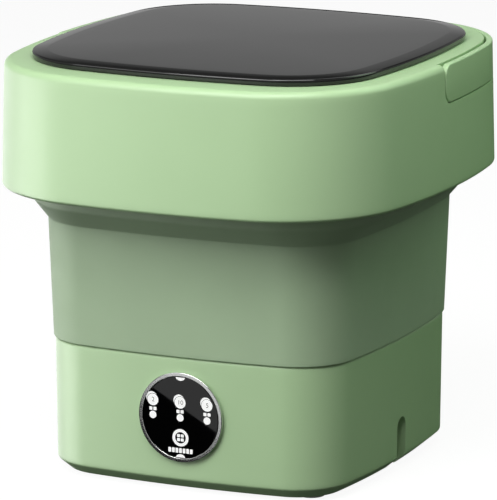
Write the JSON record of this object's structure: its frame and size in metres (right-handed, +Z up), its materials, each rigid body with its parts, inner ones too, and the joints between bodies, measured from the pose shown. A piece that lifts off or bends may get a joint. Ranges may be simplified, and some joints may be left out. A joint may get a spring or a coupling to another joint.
{
  "type": "portable mini washer",
  "caption": "Folding tabletop washer: bulged square base with a round touch panel, soft folding wall, wide rim with a swing-up carry handle and a lift-off smoked lid.",
  "frame": {"origin": "on the floor, under the middle of the washer", "axes": "+Z up, -Y to the front with the control panel, +X to the side with the drain slot"},
  "size_m": [0.28, 0.301, 0.2744],
  "materials": {
    "green_plastic": "satin moulded plastic",
    "soft_green_tpe": "matt soft elastomer",
    "smoked_plastic": "glossy dark smoked plastic",
    "white_plastic": "satin moulded plastic",
    "black_plastic": "fine matt texture",
    "grey_rubber": "matt",
    "panel_black": "high gloss",
    "silver_trim": "polished",
    "circuit_board": "solder mask",
    "steel": "bright zinc plate"
  },
  "bodies": {
    "base": {"base_housing": "green_plastic", "bottom_plate": "black_plastic", "foot_1": "grey_rubber", "foot_2": "grey_rubber", "foot_3": "grey_rubber", "foot_4": "grey_rubber", "wash_basin": "white_plastic", "lower_clamp_ring": "white_plastic", "folding_wall": "soft_green_tpe", "motor": "steel", "gearbox": "black_plastic", "motor_bracket": "steel", "shaft_bearing": "steel", "shaft_seal": "grey_rubber", "control_board": "circuit_board", "touch_board": "circuit_board", "panel_bezel": "silver_trim", "panel_glass": "panel_black", "dc_socket": "black_plastic", "drain_pipe": "white_plastic", "drain_strainer": "white_plastic", "plate_screw_1": "steel", "plate_screw_2": "steel", "plate_screw_3": "steel", "plate_screw_4": "steel", "bracket_screw_1": "steel", "bracket_screw_2": "steel", "bracket_screw_3": "steel", "bracket_screw_4": "steel", "gearbox_screw_1": "steel", "gearbox_screw_2": "steel", "gearbox_screw_3": "steel", "gearbox_screw_4": "steel", "clamp_screw_1": "steel", "clamp_screw_2": "steel", "clamp_screw_3": "steel", "clamp_screw_4": "steel"},
    "pulsator_drive": {"pulsator": "white_plastic", "drive_shaft": "steel", "pulsator_screw": "steel", "pulsator_cap": "white_plastic"},
    "rim": {"rim_housing": "green_plastic", "upper_clamp_ring": "white_plastic", "pivot_pin_right": "steel", "pivot_pin_left": "steel", "rim_screw_1": "steel", "rim_screw_2": "steel", "rim_screw_3": "steel", "rim_screw_4": "steel"},
    "handle": {"handle": "green_plastic"},
    "lid": {"lid_panel": "smoked_plastic", "lid_frame": "black_plastic", "lid_seal": "grey_rubber"}
  },
  "joints": [
    {"name": "rim_collapse", "type": "slide", "parent": "base", "child": "rim", "axis": [0, 0, 1], "range_m": [-0.105, 0], "deforming": ["folding_wall"]},
    {"name": "handle_swing", "type": "hinge", "parent": "rim", "child": "handle", "pos_m": [0, 0.001, 0.2586], "axis": [1, 0, 0], "range_deg": [0, 90]},
    {"name": "lid_lift", "type": "slide", "parent": "rim", "child": "lid", "axis": [0, 0, 1], "range_m": [0, 0.04]},
    {"name": "pulsator_spin", "type": "hinge", "parent": "base", "child": "pulsator_drive", "pos_m": [0, 0, 0.07], "axis": [0, 0, 1], "continuous": true}
  ]
}
